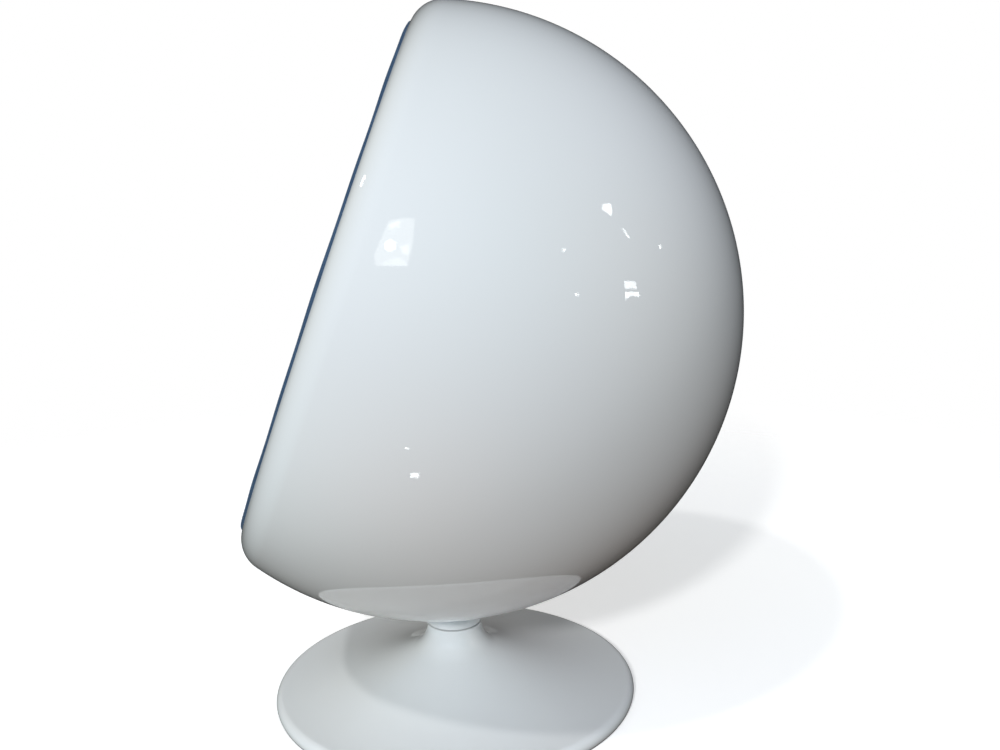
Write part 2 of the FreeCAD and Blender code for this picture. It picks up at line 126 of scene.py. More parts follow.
# Base cover
BASE_RADIUS = 0.336
BASE_EDGE_HEIGHT = 0.008
BASE_EDGE_ROUND = 0.014
COVER_WALL = 0.005
NECK_RADIUS = 0.050
NECK_TOP = 0.134
NECK_FLARE_RADIUS = 0.057
NECK_FLARE_TURN = 62.0
NECK_EDGE_ROUND = 0.0012
PAD_THICKNESS = 0.003

# Points round the turned pieces, and along and round the piping
TURNED_SEGMENTS = 320
PIPING_STEPS = 480
PIPING_SIDES = 16

# Colours of the finishes
WHITE = (0.80, 0.815, 0.82)
BASE_WHITE = (0.82, 0.835, 0.84)
DEEP_BLUE = (0.024, 0.050, 0.100)
LIT_BLUE = (0.064, 0.115, 0.195)
PIPING_DEEP_BLUE = (0.035, 0.068, 0.125)
PIPING_LIT_BLUE = (0.082, 0.140, 0.225)

# Camera, in the row frame, and the photograph that it matches
CAMERA_PLACE = Vector((1.8848, -0.0866, 0.9975))
CAMERA_YAW = -5.575
CAMERA_PITCH = 11.826
CAMERA_ROLL = -1.338
CAMERA_FOCAL_PIXELS = 1073.3
PHOTO_WIDTH = 1000
PHOTO_HEIGHT = 750
SENSOR_WIDTH = 36.0

# Floor, which fades into the white studio between two distances
FLOOR_COLOUR = (0.93, 0.93, 0.925)
FLOOR_LIFT = 0.45
FLOOR_RADIUS = 9.0
FLOOR_FADE = (0.9, 2.6)

# Soft light of the studio: direction, sharpness and colour of each lobe
LOBES = {
    "key": ((0.65, -0.42, 0.63), 5.0, (0.72, 0.84, 1.04)),
    "top_right": ((-0.21, 0.80, 0.57), 6.0, (0.29, 0.27, 0.36)),
    "front_far": ((-0.40, -0.77, 0.50), 6.0, (0.32, 0.25, 0.10)),
    "near_right": ((0.85, 0.31, 0.43), 6.0, (0.19, 0.38, 0.42)),
    "low_side": ((0.89, 0.12, -0.43), 6.0, (0.08, 0.09, 0.12)),
    "right": ((0.29, 0.93, 0.23), 6.0, (0.59, 0.53, 0.45)),
    "low_near": ((0.69, -0.69, -0.23), 6.0, (0.08, 0.13, 0.18)),
    "low_front": ((0.18, -0.80, -0.57), 6.0, (0.42, 0.65, 0.63)),
    "ground": ((0.58, -0.27, -0.77), 6.0, (0.48, 0.19, 0.05)),
}

# Lights that cast shade but don't mirror: direction, strength and width in degrees
SUNS = {
    "side_window": ((0.82, -0.36, 0.44), 1.55, 4.0),
    "ceiling_window": ((0.42, -0.40, 0.82), 0.55, 3.0),
    "back_wall": ((-0.97, 0.10, 0.03), 1.3, 60.0),
}

# Windows and lamps that mirror in the gloss: brightness and corners, in pixels of the photograph
CARD_REACH = 3.5
CARD_STEP = 0.02
CARD_COLOUR = (0.96, 1.0, 1.0, 1)
CARDS = {
    "window": (
        3.3,
        [(389, 221), (401, 218), (415, 219), (413, 245), (408, 266), (376, 266), (374, 255)],
    ),
    "window_pane": (6.2, [(389, 224), (400, 220), (399, 235), (390, 236)]),
    "window_side": (6.2, [(401, 246), (410, 243), (409, 255), (403, 253)]),
    "window_sill": (4.8, [(384, 262), (397, 257), (408, 262), (407, 266), (383, 266)]),
    "lamp": (16.0, [(385, 242), (390, 239), (396, 242), (396, 248), (390, 251), (385, 248)]),
    "door_strip": (12.0, [(364, 175), (366, 176), (361, 187), (360, 185)]),
    "far_window": (15.0, [(603, 205), (611, 204), (612, 211), (611, 216), (606, 212), (602, 210)]),
    "far_strip": (12.0, [(622, 229), (624, 229), (630, 238), (628, 238)]),
    "shutter_top": (10.0, [(624, 281), (635, 281), (637, 289), (625, 289)]),
    "shutter_low": (13.0, [(625, 292), (638, 292), (640, 297), (630, 296), (625, 300)]),
    "spark_1": (12.0, [(659, 245), (661, 245), (661, 249), (659, 249)]),
    "spark_2": (12.0, [(562, 248), (565, 248), (565, 251), (562, 251)]),
    "spark_3": (10.0, [(575, 293), (579, 293), (579, 296), (575, 296)]),
    "spark_4": (14.0, [(410, 473), (419, 473), (419, 478), (410, 478)]),
    "spark_5": (12.0, [(405, 447), (409, 447), (409, 449), (405, 449)]),
}

# Values worked out from the sizes above
LIP_AXIAL = OPENING_DISTANCE - LIP_RADIUS
LIP_RING = math.sqrt((SHELL_RADIUS - LIP_RADIUS) ** 2 - LIP_AXIAL ** 2)
LIP_START = math.degrees(math.atan2(LIP_AXIAL, LIP_RING))
LIP_STOP = math.degrees(math.acos((PIPING_RADIUS + FABRIC_GAP) / LIP_RADIUS))
POD_TURN = Matrix.Rotation(math.radians(90 - OPENING_TILT), 4, "X")
POD_MATRIX = Matrix.Translation(POD_CENTRE) @ POD_TURN


# Mesh tools


def new_object(name, vertices, faces, smooth=True):
    """Object in the scene from points and faces."""
    mesh = bpy.data.meshes.new(name)
    mesh.from_pydata([tuple(v) for v in vertices], [], [tuple(f) for f in faces])
    mesh.validate()
    mesh.update()
    if smooth:
        mesh.polygons.foreach_set("use_smooth", [True] * len(mesh.polygons))
    piece = bpy.data.objects.new(name, mesh)
    bpy.context.scene.collection.objects.link(piece)
    return piece


def arc_points(centre, radius, start, stop, count):
    """Points on an arc in the profile plane, both ends included."""
    angles = np.radians(np.linspace(start, stop, count))
    return [(centre[0] + radius * math.cos(a), centre[1] + radius * math.sin(a)) for a in angles]


def joined_profile(*runs):
    """One profile from several runs of points, with doubled points taken out."""
    points = []
    for run in runs:
        for point in run:
            if not points or math.dist(point, points[-1]) > 1e-7:
                points.append(point)
    return points


def revolved(name, profile, segments, matrix=None, closed=True):
    """Surface of revolution about Z from a profile of radius and height."""
    vertices, rings = [], []
    for radius, height in profile:
        if radius < 1e-7:
            rings.append([len(vertices)] * segments)
            vertices.append((0, 0, height))
            continue
        rings.append(list(range(len(vertices), len(vertices) + segments)))
        for step in range(segments):
            turn = 2 * math.pi * step / segments
            vertices.append((radius * math.cos(turn), radius * math.sin(turn), height))
    faces = []
    count = len(rings)
    for index in range(count if closed else count - 1):
        low, high = rings[index], rings[(index + 1) % count]
        for step in range(segments):
            after = (step + 1) % segments
            corners = [low[step], low[after], high[after], high[step]]
            face = list(dict.fromkeys(corners))
            if len(face) > 2:
                faces.append(face)
    piece = new_object(name, vertices, faces)
    fix_normals(piece)
    if matrix is not None:
        piece.data.transform(matrix)
    return piece


def fix_normals(piece):
    """Turn all faces outwards."""
    work = bmesh.new()
    work.from_mesh(piece.data)
    bmesh.ops.recalc_face_normals(work, faces=work.faces)
    work.to_mesh(piece.data)
    work.free()


def sharp_by_angle(piece, degrees):
    """Mark edges sharper than an angle, so that gloss keeps its crisp corners."""
    work = bmesh.new()
    work.from_mesh(piece.data)
    limit = math.radians(degrees)
    for edge in work.edges:
        if len(edge.link_faces) == 2:
            edge.smooth = edge.calc_face_angle() < limit
    work.to_mesh(piece.data)
    work.free()


def tube(name, path, radius, sides):
    """Closed round tube along a ring of points."""
    count = len(path)
    vertices, faces = [], []
    up = None
    for index, point in enumerate(path):
        along = (path[(index + 1) % count] - path[index - 1]).normalized()
        if up is None:
            up = along.orthogonal().normalized()
        up = (up - along * up.dot(along)).normalized()
        side = along.cross(up)
        for step in range(sides):
            turn = 2 * math.pi * step / sides
            vertices.append(point + (up * math.cos(turn) + side * math.sin(turn)) * radius)
    shift = seam_shift(vertices, sides, count)
    for index in range(count):
        low = index * sides
        high = ((index + 1) % count) * sides
        offset = shift if index == count - 1 else 0
        for step in range(sides):
            after = (step + 1) % sides
            ends = high + (after + offset) % sides, high + (step + offset) % sides
            faces.append((low + step, low + after, *ends))
    piece = new_object(name, vertices, faces)
    fix_normals(piece)
    return piece


def seam_shift(vertices, sides, count):
    """How many sides the last ring has turned against the first one."""
    last = vertices[(count - 1) * sides]
    spans = [(vertices[step] - last).length for step in range(sides)]
    return spans.index(min(spans))


# Materials


class Shader:
    """A node material with a few short ways to add what each finish needs."""

    def __init__(self, name):
        self.material = bpy.data.materials.new(name)
        self.material.use_nodes = True
        self.nodes = self.material.node_tree.nodes
        self.links = self.material.node_tree.links
        self.shader = self.nodes["Principled BSDF"]
        self.place = self.nodes.new("ShaderNodeTexCoord").outputs["Object"]

    def set(self, **values):
        for key, value in values.items():
            self.shader.inputs[key.replace("_", " ")].default_value = value
        return self

    def noise(self, scale, detail=2.0, roughness=0.5, stretch=None):
        node = self.nodes.new("ShaderNodeTexNoise")
        node.inputs["Scale"].default_value = scale
        node.inputs["Detail"].default_value = detail
        node.inputs["Roughness"].default_value = roughness
        self.links.new(self.stretched(stretch), node.inputs["Vector"])
        return node.outputs["Fac"]

    def wave(self, scale, direction, distortion=0.0):
        node = self.nodes.new("ShaderNodeTexWave")
        node.bands_direction = direction
        node.inputs["Scale"].default_value = scale
        node.inputs["Distortion"].default_value = distortion
        self.links.new(self.place, node.inputs["Vector"])
        return node.outputs["Fac"]

    def voronoi(self, scale):
        node = self.nodes.new("ShaderNodeTexVoronoi")
        node.inputs["Scale"].default_value = scale
        self.links.new(self.place, node.inputs["Vector"])
        return node.outputs["Distance"]

    def stretched(self, stretch):
        if stretch is None:
            return self.place
        node = self.nodes.new("ShaderNodeMapping")
        node.inputs["Scale"].default_value = stretch
        self.links.new(self.place, node.inputs["Vector"])
        return node.outputs["Vector"]

    def spread(self, source, low, high, new_low, new_high):
        node = self.nodes.new("ShaderNodeMapRange")
        self.links.new(source, node.inputs["Value"])
        values = {"From Min": low, "From Max": high, "To Min": new_low, "To Max": new_high}
        for key, value in values.items():
            node.inputs[key].default_value = value
        return node.outputs["Result"]

    def math(self, kind, a, b):
        node = self.nodes.new("ShaderNodeMath")
        node.operation = kind
        for socket, value in zip(node.inputs, (a, b)):
            if isinstance(value, (int, float)):
                socket.default_value = value
            else:
                self.links.new(value, socket)
        return node.outputs["Value"]

    def mix_colour(self, factor, first, second):
        node = self.nodes.new("ShaderNodeMix")
        node.data_type = "RGBA"
        self.links.new(factor, node.inputs["Factor"])
        for socket, value in ((node.inputs["A"], first), (node.inputs["B"], second)):
            if isinstance(value, tuple):
                socket.default_value = (*value, 1.0)
            else:
                self.links.new(value, socket)
        return node.outputs["Result"]

    def colour(self, source):
        self.links.new(source, self.shader.inputs["Base Color"])

    def roughness(self, source):
        self.links.new(source, self.shader.inputs["Roughness"])

    def bump(self, height, strength, distance):
        node = self.nodes.new("ShaderNodeBump")
        node.inputs["Strength"].default_value = strength
        node.inputs["Distance"].default_value = distance
        self.links.new(height, node.inputs["Height"])
        last = self.shader.inputs["Normal"]
        if last.links:
            self.links.new(last.links[0].from_socket, node.inputs["Normal"])
        self.links.new(node.outputs["Normal"], last)


def gelcoat(name, tint, waviness):
    """White moulded gelcoat: high gloss, slightly wavy, with faint polishing marks."""
    s = Shader(name)
    s.set(IOR=1.5)
    clouds = s.noise(2.2, 3.0)
    warm = tuple(c * f for c, f in zip(tint, (0.992, 0.985, 0.972)))
    s.colour(s.mix_colour(s.spread(clouds, 0.35, 0.7, 0.0, 0.6), tint, warm))
    marks = s.noise(14.0, 6.0, 0.65, stretch=(1.0, 1.0, 3.0))
    s.roughness(s.spread(marks, 0.3, 0.75, 0.015, 0.045))
    s.bump(s.noise(6.5, 1.5), waviness, 0.004)
    s.bump(s.noise(900.0, 2.0), 0.02, 0.0002)
    return s.material


def woven_fabric(name, dark, light, thread=0.0011, fuzz=0.3):
    """Close-woven milled wool: small knots of yarn, loose fibres, mottled dye, a faint sheen and
    painted shade in the gaps between the knots.
    """
    s = Shader(name)
    s.set(Sheen_Weight=0.12, Sheen_Roughness=0.5, Sheen_Tint=(0.35, 0.5, 0.8, 1.0))
    s.set(Specular_IOR_Level=0.22)
    # painted shade: the knot mask darkens the colour towards each knot's edge, where the bump sinks
    # between knots; the mottle and fibres are dye tone
    knots = s.spread(s.voronoi(1 / thread), 0.05, 0.6, 1.0, 0.0)
    mottle = s.noise(38.0, 5.0, 0.6)
    fibres = s.noise(1500.0, 3.0, 0.7)
    shade = s.math("ADD", s.math("MULTIPLY", mottle, 0.55), s.math("MULTIPLY", knots, 0.28))
    shade = s.math("ADD", shade, s.math("MULTIPLY", fibres, 0.3))
    s.colour(s.mix_colour(s.spread(shade, 0.35, 0.85, 0.0, 1.0), dark, light))
    s.roughness(s.spread(mottle, 0.3, 0.7, 0.82, 0.95))
    s.bump(knots, 0.55, 0.0004)
    s.bump(fibres, fuzz, 0.0003)
    s.bump(s.noise(9.0, 3.0), 0.25, 0.004)
    return s.material


def steel(name, colour, roughness, streak):
    """Turned or plated steel, with its grain drawn out along one axis."""
    s = Shader(name)
    s.set(Metallic=1.0)
    grain = s.noise(60.0, 4.0, 0.6, stretch=streak)
    dull = tuple(c * 0.8 for c in colour)
    s.colour(s.mix_colour(grain, colour, dull))
    s.roughness(s.spread(grain, 0.3, 0.7, roughness * 0.75, roughness * 1.3))
    s.bump(grain, 0.15, 0.0003)
    return s.material


def black_paint(name):
    """Powder coat with a fine orange-peel and worn, greyer patches."""
    s = Shader(name)
    wear = s.noise(18.0, 5.0, 0.65)
    worn = s.spread(wear, 0.5, 0.75, 0.0, 1.0)
    s.colour(s.mix_colour(worn, (0.02, 0.02, 0.022), (0.07, 0.07, 0.072)))
    s.roughness(s.spread(wear, 0.3, 0.7, 0.38, 0.6))
    s.bump(s.noise(500.0, 2.0), 0.3, 0.0004)
    return s.material


def plywood(name):
    """Birch ply: long figure on the face and thin darker plies through the edge."""
    s = Shader(name)
    figure = s.noise(16.0, 6.0, 0.6, stretch=(0.6, 6.0, 6.0))
    plies = s.wave(222.0, "Z", distortion=0.3)
    both = s.math("ADD", s.math("MULTIPLY", figure, 0.75), s.math("MULTIPLY", plies, 0.25))
    s.colour(s.mix_colour(both, (0.72, 0.54, 0.34), (0.47, 0.31, 0.17)))
    s.roughness(s.spread(figure, 0.3, 0.7, 0.55, 0.75))
    s.bump(figure, 0.2, 0.0005)
    return s.material


def nylon(name):
    """Natural nylon, slightly mottled and a little translucent."""
    s = Shader(name)
    s.set(Subsurface_Weight=0.1, Subsurface_Scale=0.01)
    mottle = s.noise(40.0, 3.0)
    s.colour(s.mix_colour(mottle, (0.75, 0.72, 0.64), (0.66, 0.63, 0.55)))
    s.roughness(s.spread(mottle, 0.3, 0.7, 0.35, 0.5))
    s.bump(s.noise(350.0, 3.0), 0.1, 0.0003)
    return s.material


def felt(name):
    """Pressed grey felt of matted fibres."""
    s = Shader(name)
    s.set(Sheen_Weight=0.4, Sheen_Roughness=0.6)
    fibres = s.noise(700.0, 5.0, 0.75)
    clumps = s.noise(60.0, 4.0)
    shade = s.spread(s.math("MULTIPLY", fibres, clumps), 0.1, 0.4, 0.0, 1.0)
    s.colour(s.mix_colour(shade, (0.035, 0.035, 0.037), (0.11, 0.11, 0.115)))
    s.roughness(s.spread(fibres, 0.2, 0.8, 0.85, 1.0))
    s.bump(fibres, 0.7, 0.0008)
    return s.material


def make_materials():
    """One material for each slot of the record."""
    return {
        "gelcoat_white": gelcoat("gelcoat_white", WHITE, 0.10),
        "base_white": gelcoat("base_white", BASE_WHITE, 0.05),
        "collar_white": gelcoat("collar_white", WHITE, 0.04),
        "felt_grey": felt("felt_grey"),
        "steel_black": black_paint("steel_black"),
        "plywood": plywood("plywood"),
        "zinc_steel": steel("zinc_steel", (0.62, 0.62, 0.60), 0.32, (1.0, 1.0, 6.0)),
        "bearing_steel": steel("bearing_steel", (0.72, 0.72, 0.73), 0.14, (1.0, 1.0, 14.0)),
        "nylon": nylon("nylon"),
        "piping_blue": woven_fabric("piping_blue", PIPING_DEEP_BLUE, PIPING_LIT_BLUE, 0.0008, 0.2),
        "lining_blue": woven_fabric("lining_blue", DEEP_BLUE, LIT_BLUE),
        "cushion_blue": woven_fabric("cushion_blue", DEEP_BLUE, LIT_BLUE, 0.0012),
    }


def dress(piece, slot, body):
    """Give a new piece its material and its body."""
    piece.data.materials.clear()
    piece.data.materials.append(materials[slot])
    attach(piece, body)
    return piece


def dress_frame():
    """Give every node of the frame the material of its slot."""
    for part in frame["record"]["subparts"]:
        node = frame["nodes"][part["node"]]
        node.data.materials.clear()
        node.data.materials.append(materials[part["material_slot"]])
        node.data.polygons.foreach_set("use_smooth", [True] * len(node.data.polygons))
        sharp = node.modifiers.new("corners", "EDGE_SPLIT")
        sharp.split_angle = math.radians(30)


# Pod


def pod_point(radius, turn, height):
    """Point from the pod's own frame, with Z out of the opening."""
    return POD_MATRIX @ Vector((radius * math.cos(turn), radius * math.sin(turn), height))


def shell_profile():
    """Outer sphere, rolled lip, rounded edge and inner surface, from the pole round to the pole."""
    lip = (LIP_RING, LIP_AXIAL)
    inner = SHELL_RADIUS - SHELL_WALL
    round_turn = math.degrees(LIP_EDGE_ROUND / LIP_RADIUS)
    edges = []
    rounds = (
        (LIP_RADIUS - LIP_EDGE_ROUND, LIP_STOP),
        (LIP_RADIUS - SHELL_WALL + LIP_EDGE_ROUND, LIP_STOP + 90),
    )
    for middle, start in rounds:
        turn = math.radians(LIP_STOP - round_turn)
        centre = (lip[0] + middle * math.cos(turn), lip[1] + middle * math.sin(turn))
        edges.append(arc_points(centre, LIP_EDGE_ROUND, start, start + 90, 5))
    return joined_profile(
        arc_points((0, 0), SHELL_RADIUS, -90, LIP_START, 150),
        arc_points(lip, LIP_RADIUS, LIP_START, LIP_STOP - round_turn, 36),
        edges[0],
        edges[1],
        arc_points(lip, LIP_RADIUS - SHELL_WALL, LIP_STOP - round_turn, LIP_START, 16),
        arc_points((0, 0), inner, LIP_START, -90, 80),
    )


def make_shell():
    """Moulded shell, turned about the opening's axis."""
    shell = revolved("pod_shell", shell_profile(), TURNED_SEGMENTS, POD_MATRIX, closed=False)
    sharp_by_angle(shell, 60)
    dress(shell, "gelcoat_white", "pod")
    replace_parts(shell, "shell")
    return shell


def make_rim_piping():
    """Welt between the lip and the lining, a little uneven along its length."""
    height = OPENING_DISTANCE + PIPING_PROUD - PIPING_RADIUS
    path = []
    for step in range(PIPING_STEPS):
        turn = 2 * math.pi * step / PIPING_STEPS
        wander = 0.0004 * math.sin(7 * turn + 1.0) + 0.0003 * math.sin(17 * turn)
        path.append(pod_point(LIP_RING + 0.5 * wander, turn, height + wander))
    welt = tube("rim_welt", path, PIPING_RADIUS, PIPING_SIDES)
    dress(welt, "piping_blue", "pod")
    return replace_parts(welt, "rim_piping")


# Base


def cover_arcs(inset, counts):
    """Neck flare, disc sweep and edge roll of the cover, moved inwards by the wall."""
    flare_centre = Vector((NECK_RADIUS + NECK_FLARE_RADIUS, NECK_TOP))
    roll_centre = Vector((BASE_RADIUS - BASE_EDGE_ROUND, BASE_EDGE_HEIGHT))
    turn = math.radians(NECK_FLARE_TURN)
    way = Vector((-math.cos(turn), -math.sin(turn)))
    flare_end = flare_centre + way * NECK_FLARE_RADIUS
    apart = flare_end - roll_centre
    lean = apart.dot(-way) - BASE_EDGE_ROUND
    sweep_radius = (BASE_EDGE_ROUND ** 2 - apart.dot(apart)) / (2 * lean)
    sweep_centre = flare_end - way * sweep_radius
    across = sweep_centre - roll_centre
    roll_top = math.degrees(math.atan2(across.y, across.x))
    roll_radius = BASE_EDGE_ROUND - inset
    roll_low = -math.degrees(math.asin((BASE_EDGE_HEIGHT - PAD_THICKNESS) / roll_radius))
    flare_stop, sweep_stop = 180 + NECK_FLARE_TURN, 180 + roll_top
    return [
        arc_points(flare_centre, NECK_FLARE_RADIUS + inset, 180, flare_stop, counts[0]),
        arc_points(sweep_centre, sweep_radius + inset, flare_stop, sweep_stop, counts[1]),
        arc_points(roll_centre, roll_radius, roll_top, roll_low, counts[2]),
    ]


def make_base_cover():
    """Trumpet cover, turned about the swivel's axis."""
    outer = joined_profile(*cover_arcs(0, (40, 60, 24)))
    inner = joined_profile(*cover_arcs(COVER_WALL, (16, 24, 8)))
    corner = (NECK_RADIUS + NECK_EDGE_ROUND, NECK_TOP - NECK_EDGE_ROUND)
    outer = [p for p in outer if p[1] < NECK_TOP - NECK_EDGE_ROUND]
    rim = arc_points(corner, NECK_EDGE_ROUND, 90, 180, 6)
    profile = joined_profile(rim, outer, inner[::-1])
    cover = revolved("base_cover_skin", profile, TURNED_SEGMENTS)
    sharp_by_angle(cover, 50)
    dress(cover, "base_white", "base")
    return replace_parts(cover, "base_cover")


# Upholstery


def gore_thickness(from_seam, along, seed):
    """Padding that swells away from the seams, with small puckers beside the stitching."""
    soft = SEAM_DRAW * math.exp(-from_seam / SEAM_DRAW_REACH)
    roll = 0.0
    if from_seam < SEAM_ROLL_REACH:
        part = 1 - from_seam / SEAM_ROLL_REACH
        roll = SEAM_ROLL * (1 - math.sqrt(max(0.0, 1 - part * part)))
    wander = noise.noise(Vector((along * 9, seed * 3.7, from_seam * 20)))
    wave = math.sin(2 * math.pi * along / PUCKER_SPACING + 5 * wander)
    pucker = PUCKER_DEPTH * math.exp(-from_seam / PUCKER_REACH) * wave
    slack = SLACK * noise.noise(Vector((along * 5, seed * 1.9, from_seam * 14)))
    return LINING_THICKNESS - soft - roll + pucker + slack


def gore_section(from_seam, seed):
    """Closed section of a gore at a distance from its nearer seam, in the profile plane."""
    outside = SHELL_WALL + FABRIC_GAP
    first = -90 + LINING_CENTRE_ANGLE + math.degrees(CENTRE_GAP / SHELL_RADIUS)
    lip = (LIP_RING, LIP_AXIAL)
    outer = joined_profile(
        arc_points((0, 0), SHELL_RADIUS - outside, first, LIP_START, 40),
        arc_points(lip, LIP_RADIUS - outside, LIP_START, LINING_END_ANGLE, 8),
    )
    inner, along = [], 0.0
    spans = (
        ((0, 0), SHELL_RADIUS, np.linspace(first, LIP_START, 110)),
        (lip, LIP_RADIUS, np.linspace(LIP_START, LINING_END_ANGLE, 26)[1:]),
    )
    depth = LINING_THICKNESS
    for centre, radius, angles in spans:
        last = None
        for angle in angles:
            if last is not None:
                along += math.radians(angle - last) * (radius - outside)
            last = angle
            near = min(from_seam, along + 0.0001)
            depth = gore_thickness(near, along, seed)
            reach = radius - outside - depth
            turn = math.radians(angle)
            inner.append((centre[0] + reach * math.cos(turn), centre[1] + reach * math.sin(turn)))
    swing = LIP_RADIUS - outside - depth / 2
    turn = math.radians(LINING_END_ANGLE)
    nose = (lip[0] + swing * math.cos(turn), lip[1] + swing * math.sin(turn))
    tip = arc_points(nose, depth / 2, LINING_END_ANGLE, LINING_END_ANGLE + 180, 14)
    return joined_profile(outer, tip[1:-1], inner[::-1])


def make_lining_gore(index):
    """One padded gore between two seams, swept round the opening's axis."""
    step = 2 * math.pi / LINING_PANELS
    margin = GORE_GAP / LIP_RING
    start = index * step - math.pi / 2 - step / 2 + margin
    width = step - 2 * margin
    shares = (
        np.linspace(0, 0.06, 9)[:-1],
        np.linspace(0.06, 0.94, 34),
        np.linspace(0.94, 1, 9)[1:],
    )
    steps = np.concatenate(shares)
    vertices, ring = [], 0
    for share in steps:
        turn = start + width * share
        from_seam = min(share, 1 - share) * width * GORE_WIDTH_AT_SEAMS
        section = gore_section(from_seam, index + share)
        ring = len(section)
        vertices += [pod_point(r, turn, z) for r, z in section]
    faces = []
    for column in range(len(steps) - 1):
        for row in range(ring):
            after = (row + 1) % ring
            low, high = column * ring, (column + 1) * ring
            faces.append((low + row, low + after, high + after, high + row))
    faces.append(list(range(ring)))
    faces.append([(len(steps) - 1) * ring + row for row in range(ring)][::-1])
    gore = new_object(f"lining_gore_{index + 1}", vertices, faces)
    cut_below(gore, DECK_TOP + DECK_GAP)
    sharp_by_angle(gore, 70)
    dress(gore, "lining_blue", "pod")
    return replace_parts(gore, f"lining_panel_{index + 1}")


def cut_below(piece, height):
    """Trim off what lies under a level, and close the cut."""
    work = bmesh.new()
    work.from_mesh(piece.data)
    everything = work.verts[:] + work.edges[:] + work.faces[:]
    cut = bmesh.ops.bisect_plane(
        work, geom=everything, plane_co=(0, 0, height), plane_no=(0, 0, -1), clear_outer=True
    )
    rim = [e for e in cut["geom_cut"] if isinstance(e, bmesh.types.BMEdge)]
    if rim:
        bmesh.ops.holes_fill(work, edges=rim, sides=0)
    bmesh.ops.recalc_face_normals(work, faces=work.faces)
    work.to_mesh(piece.data)
    work.free()


def make_lining_centre():
    """Round panel at the middle of the back, drawn in along its rim."""
    outside = SHELL_WALL + FABRIC_GAP
    last = LINING_CENTRE_ANGLE
    outer = [(SHELL_RADIUS - outside, a) for a in np.linspace(0, last, 12)]
    inner = []
    for angle in np.linspace(last, 0, 40):
        from_seam = math.radians(last - angle) * (SHELL_RADIUS - outside)
        inner.append((SHELL_RADIUS - outside - gore_thickness(from_seam, 0.3, 9), angle))
    profile = []
    for radius, angle in outer + inner:
        turn = math.radians(angle)
        profile.append((radius * math.sin(turn), -radius * math.cos(turn)))
    panel = revolved("lining_centre_pad", profile, 96, POD_MATRIX, closed=False)
    dress(panel, "lining_blue", "pod")
    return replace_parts(panel, "lining_centre")


def inflate(piece, pins, pressure, growth, most):
    """Blow a sewn cover up with cloth, held along its seams, and keep the result as the mesh."""
    group = piece.vertex_groups.new(name="seams")
    group.add(pins, 1.0, "REPLACE")
    before = [v.co.copy() for v in piece.data.vertices]
    cloth = piece.modifiers.new("cover", "CLOTH")
    cloth.settings.quality = 6
    cloth.settings.mass = 0.25
    cloth.settings.tension_stiffness = 18
    cloth.settings.compression_stiffness = 14
    cloth.settings.shear_stiffness = 6
    cloth.settings.bending_stiffness = 0.35
    cloth.settings.vertex_group_mass = "seams"
    cloth.settings.use_pressure = True
    cloth.settings.uniform_pressure_force = pressure
    cloth.settings.shrink_min = -growth
    cloth.settings.shrink_max = -growth
    cloth.settings.effector_weights.gravity = 0
    cloth.point_cache.frame_start = 1
    cloth.point_cache.frame_end = CLOTH_FRAMES
    scene = bpy.context.scene
    for step in range(1, CLOTH_FRAMES + 1):
        scene.frame_set(step)
        bpy.context.view_layer.update()
    blown = piece.evaluated_get(bpy.context.evaluated_depsgraph_get())
    places = [v.co.copy() for v in blown.data.vertices]
    piece.modifiers.remove(cloth)
    piece.vertex_groups.clear()
    scene.frame_set(1)
    for vertex, old, new in zip(piece.data.vertices, before, places):
        move = new - old
        if move.length > most:
            move *= most / move.length
        vertex.co = old + move
    piece.data.update()


def make_cushion(name, node, seams, floor=None, over=None):
    """Loose cushion from its closed CAD form: remeshed, blown up and put back into its room."""
    source = frame["nodes"][node]
    mesh = source.data.copy()
    mesh.materials.clear()
    piece = bpy.data.objects.new(name, mesh)
    bpy.context.scene.collection.objects.link(piece)
    weld(piece)
    remesh = piece.modifiers.new("even", "REMESH")
    remesh.mode = "VOXEL"
    remesh.voxel_size = VOXEL_SIZE
    apply_modifiers(piece)
    pull_in(piece, CUSHION_PULL_IN)
    pins = near_curves(piece, seams, PIN_REACH)
    inflate(piece, pins, CLOTH_PRESSURE, CLOTH_GROWTH, CLOTH_MOST)
    into_room(piece, floor, over)
    smooth = piece.modifiers.new("smooth", "SUBSURF")
    smooth.levels = 1
    smooth.render_levels = 1
    apply_modifiers(piece)
    piece.data.polygons.foreach_set("use_smooth", [True] * len(piece.data.polygons))
    dress(piece, "cushion_blue", "pod")
    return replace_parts(piece, node)


def weld(piece):
    """Join the doubled points of a mesh."""
    work = bmesh.new()
    work.from_mesh(piece.data)
    bmesh.ops.remove_doubles(work, verts=work.verts, dist=1e-6)
    work.to_mesh(piece.data)
    work.free()


def apply_modifiers(piece):
    """Keep what the modifiers show as the mesh itself."""
    graph = bpy.context.evaluated_depsgraph_get()
    baked = bpy.data.meshes.new_from_object(piece.evaluated_get(graph))
    piece.modifiers.clear()
    piece.data = baked


def pull_in(piece, depth):
    """Move the surface inwards, for cloth to swell out again."""
    normals = [v.normal.copy() for v in piece.data.vertices]
    for vertex, normal in zip(piece.data.vertices, normals):
        vertex.co -= normal * depth
    piece.data.update()


def near_curves(piece, curves, reach):
    """Points of a mesh that lie near any of the curves."""
    tree = KDTree(sum(len(c) for c in curves))
    index = 0
    for curve in curves:
        for point in curve:
            tree.insert(point, index)
            index += 1
    tree.balance()
    return [v.index for v in piece.data.vertices if tree.find(v.co)[2] < reach]


# Cushion outlines, as in their closed forms


